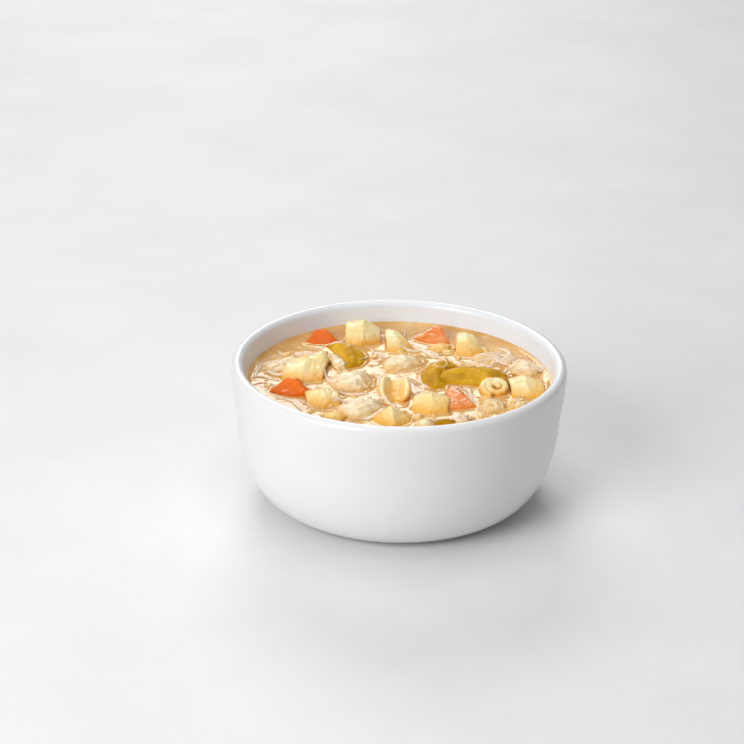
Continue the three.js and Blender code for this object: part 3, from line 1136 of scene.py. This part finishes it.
def spots_round(places_mm, spread_mm, count, sizes, sink=0.0, top_mm=1.5, only_broth=False):
    """Random spots round some places, more small than large, up to a height over the broth or
    on open broth only."""
    spots = []
    while len(spots) < count:
        middle = random.choice(places_mm)
        x = random.gauss(middle[0], spread_mm) * MM
        y = random.gauss(middle[1], spread_mm) * MM
        height, open_broth = height_under(x, y)
        size = random.uniform(*sizes) ** 1.5
        if math.hypot(x, y) > BROTH_RADIUS - EDGE_GAP or height > BROTH_LEVEL + top_mm * MM:
            continue
        if only_broth and not open_broth:
            continue
        spots.append((x, y, height - sink * size * MM, size))
    return spots


def spots_at(places_mm, sizes, sink_mm=0.0):
    """A spot on whatever lies at each place, sunk a little, with a random size."""
    spots = []
    for x, y in places_mm:
        height = height_under(x * MM, y * MM)[0]
        spots.append((x * MM, y * MM, height - sink_mm * MM, random.uniform(*sizes)))
    return spots


# %% Crumbs
CRUMB_PLACES = [
    (-9, -3), (-11, -8), (37, -24), (43, -22), (47, -18), (-52, 4), (40, 22), (50, 8), (22, -37),
    (6, -8), (-30, -33), (-20, -15), (-46, 20), (32, 14), (20, 30), (-25, -26), (12, -35),
]
GRAINY_PLACES = [(-8.5, -3), (-10, -8), (36, -27), (41, -25), (46, -21)]
select_none()
bpy.ops.mesh.primitive_ico_sphere_add(subdivisions=2, radius=0.6 * MM)
crumb = bpy.context.object
bpy.ops.transform.resize(value=(1.5, 1.0, 0.6))
apply_place(crumb)
add_lumps(crumb, size_mm=0.6, height_mm=0.8)
crumb_spots = spots_round(CRUMB_PLACES, 3.2, 200, (0.6, 1.4), sink=0.15)
crumb_spots += spots_round(GRAINY_PLACES, 2.2, 130, (0.6, 1.3), sink=0.2, top_mm=4.5)
crumbs = strewn(crumb, "crumbs", crumb_spots)
finish_piece(crumbs, crumb_finish)
print("crumbs:", len(crumbs.data.polygons), "faces")

# %% [markdown]
# Short bits of broken noodle lie at the surface between the larger pieces.

# %% Bits of noodle
NOODLE_BITS = [
    (20, 28), (23.5, 23.5), (-30, 25), (-11, 22.5), (6.5, 24.5), (33, -15), (-33, -31), (-27, -33),
    (31, -33), (36.5, -32.5), (54.5, 3), (-50.5, -8.5), (0.5, 27), (-37, 21), (8, -34), (-20, 33),
    (-44, 24), (34, 31),
]
select_none()
bpy.ops.mesh.primitive_cube_add(size=1 * MM)
bit = bpy.context.object
bpy.ops.object.mode_set(mode="EDIT")
bpy.ops.mesh.subdivide(number_cuts=3)
bpy.ops.transform.resize(value=(5.5, 3.2, 1.1))
bpy.ops.object.mode_set(mode="OBJECT")
rounding = bit.modifiers.new("rounding", "SUBSURF")
rounding.levels = rounding.render_levels = 1
apply_modifiers(bit)
pull(bit, place_mm=(0, 0, 0.5), move_mm=(0, 0, 0.8), reach_mm=2.4)
add_lumps(bit, size_mm=2.0, height_mm=0.7)
bits = strewn(bit, "noodle_bits", spots_at(NOODLE_BITS, (0.7, 1.3), sink_mm=0.4))
finish_piece(bits, crumb_finish)
print("bits of noodle:", len(bits.data.polygons), "faces")

# %% Drops of fat
FAT_PLACES = [(x, y) for x in range(-48, 49, 12) for y in range(-42, 49, 10)]
select_none()
bpy.ops.mesh.primitive_uv_sphere_add(segments=14, ring_count=7, radius=0.9 * MM)
drop = bpy.context.object
bpy.ops.transform.resize(value=(1, 1, 0.16))
apply_place(drop)
drops = strewn(drop, "fat_drops", spots_round(FAT_PLACES, 5.0, 220, (0.3, 1.1), only_broth=True))
finish_piece(drops, fat_finish)
print("drops of fat:", len(drops.data.polygons), "faces")

# %% Flecks of herb
FLECKS = [(-52.5, -15), (-41, -30), (-47, -24), (-38, 26), (3, -45)]
select_none()
bpy.ops.mesh.primitive_ico_sphere_add(subdivisions=2, radius=0.5 * MM)
fleck = bpy.context.object
bpy.ops.transform.resize(value=(1.8, 0.7, 0.3))
apply_place(fleck)
add_lumps(fleck, size_mm=0.8, height_mm=0.25)
flecks = strewn(fleck, "herb_flecks", spots_at(FLECKS, (0.8, 1.2)))
finish_piece(flecks, herb_finish)
print("flecks:", len(flecks.data.polygons), "faces")

# %% [markdown]
# ## The table and the light
# The bowl stands on a plain pale table under soft studio light: a large light from the front
# left, one overhead, a wide one behind that glints on the wet surface, and a weak fill.

# %% Table, world and lights
select_none()
bpy.ops.mesh.primitive_plane_add(size=6, location=(0, 0, 0))
table = bpy.context.object
table.name = "table"
table_finish, table_tree, table_shader = new_finish("pale table", 0.6)
table_tone = use_group(
    table_tree, MOTTLE, Light=rgb(0.93, 0.93, 0.93), Dark=rgb(0.91, 0.91, 0.915), Patch_Size_mm=80.0
)
table_tree.links.new(table_tone.outputs["Color"], table_shader.inputs["Base Color"])
table.data.materials.append(table_finish)

world = bpy.data.worlds.new("studio")
bpy.context.scene.world = world
world.use_nodes = True
world.node_tree.nodes["Background"].inputs["Color"].default_value = rgb(0.98, 0.98, 1.0)
world.node_tree.nodes["Background"].inputs["Strength"].default_value = 0.2


def soft_light(name, place, aim, size, power, colour=(1, 1, 1)):
    light = bpy.data.lights.new(name, "AREA")
    light.shape = "RECTANGLE"
    light.size, light.size_y = size
    light.energy = power
    light.color = colour
    lamp = bpy.data.objects.new(name, light)
    bpy.context.collection.objects.link(lamp)
    lamp.location = place
    lamp.rotation_mode = "QUATERNION"
    lamp.rotation_quaternion = (Vector(aim) - Vector(place)).to_track_quat("-Z", "Y")
    return lamp


SOUP = (0, 0, BROTH_LEVEL)
soft_light("key", (-0.7, -0.8, 0.6), SOUP, (0.6, 0.6), 9.2)
soft_light("overhead", (0, 0, 1.2), SOUP, (0.8, 0.8), 4.8)
soft_light("glint", (-0.2, 1.1, 0.76), SOUP, (0.6, 0.5), 6.0)
soft_light("fill", (0.7, -0.8, 0.6), SOUP, (0.6, 0.6), 0.4)

# %% [markdown]
# ## The camera
# It looks down on the bowl from the front at about 25 degrees, turned a little about its own
# line of sight.

# %% The camera
VIEW_UP = math.radians(24.56)
VIEW_DISTANCE = 0.9
VIEW_ROLL = math.radians(1.22)
LENS_MM = 111.29
SENSOR_MM = 36
VIEW_SHIFT = (-0.03487, 0.07035)
AIM_HEIGHT = 28.9 * MM
middle = Vector((0, 0, AIM_HEIGHT))
lens = bpy.data.cameras.new("camera")
lens.sensor_width = SENSOR_MM
lens.lens = LENS_MM
lens.shift_x, lens.shift_y = VIEW_SHIFT
camera = bpy.data.objects.new("camera", lens)
bpy.context.collection.objects.link(camera)
back = Vector((0, -math.cos(VIEW_UP), math.sin(VIEW_UP)))
camera.matrix_world = (
    Matrix.Translation(middle + back * VIEW_DISTANCE)
    @ (-back).to_track_quat("-Z", "Y").to_matrix().to_4x4()
    @ Matrix.Rotation(VIEW_ROLL, 4, "Z")
)
bpy.context.scene.camera = camera
bpy.context.scene.view_settings.view_transform = "Standard"
